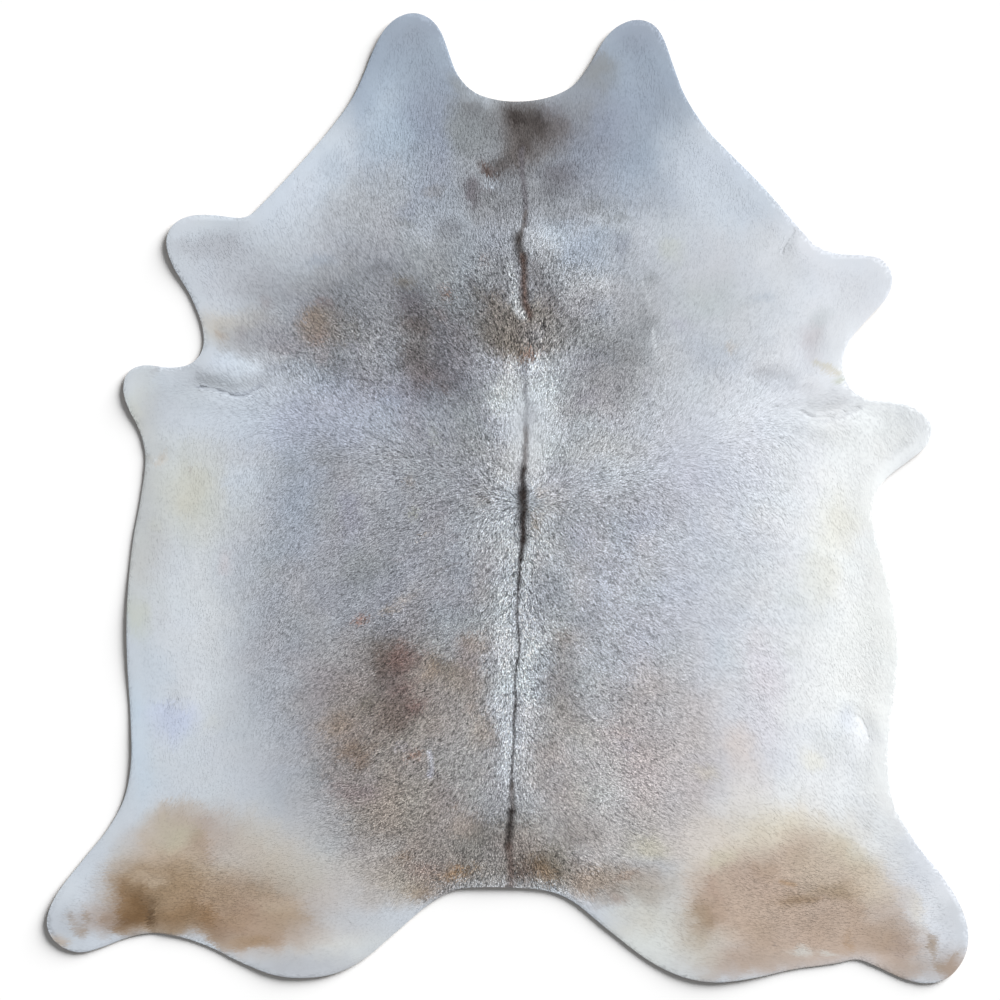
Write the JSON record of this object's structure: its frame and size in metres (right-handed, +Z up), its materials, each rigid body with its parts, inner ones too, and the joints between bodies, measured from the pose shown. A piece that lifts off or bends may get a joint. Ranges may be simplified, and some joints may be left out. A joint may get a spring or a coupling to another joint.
{
  "type": "cowhide rug",
  "caption": "Whole cowhide rug laid flat: pale silver grey short hair with a dark spine line, brown ticking, tan hind patches and lobed edges.",
  "frame": {"origin": "on the floor, under the middle of the hide's bounding box", "axes": "+Z up out of the hair side, +Y towards the neck end, +X towards the hide's right side seen from above with the neck at the top"},
  "size_m": [2.074, 2.1836, 0.0122],
  "materials": {
    "hide": "matt suede underside and cut edge",
    "coat": "short laid hair with a soft sheen"
  },
  "bodies": {
    "root": {"hide": "hide"}
  },
  "joints": []
}
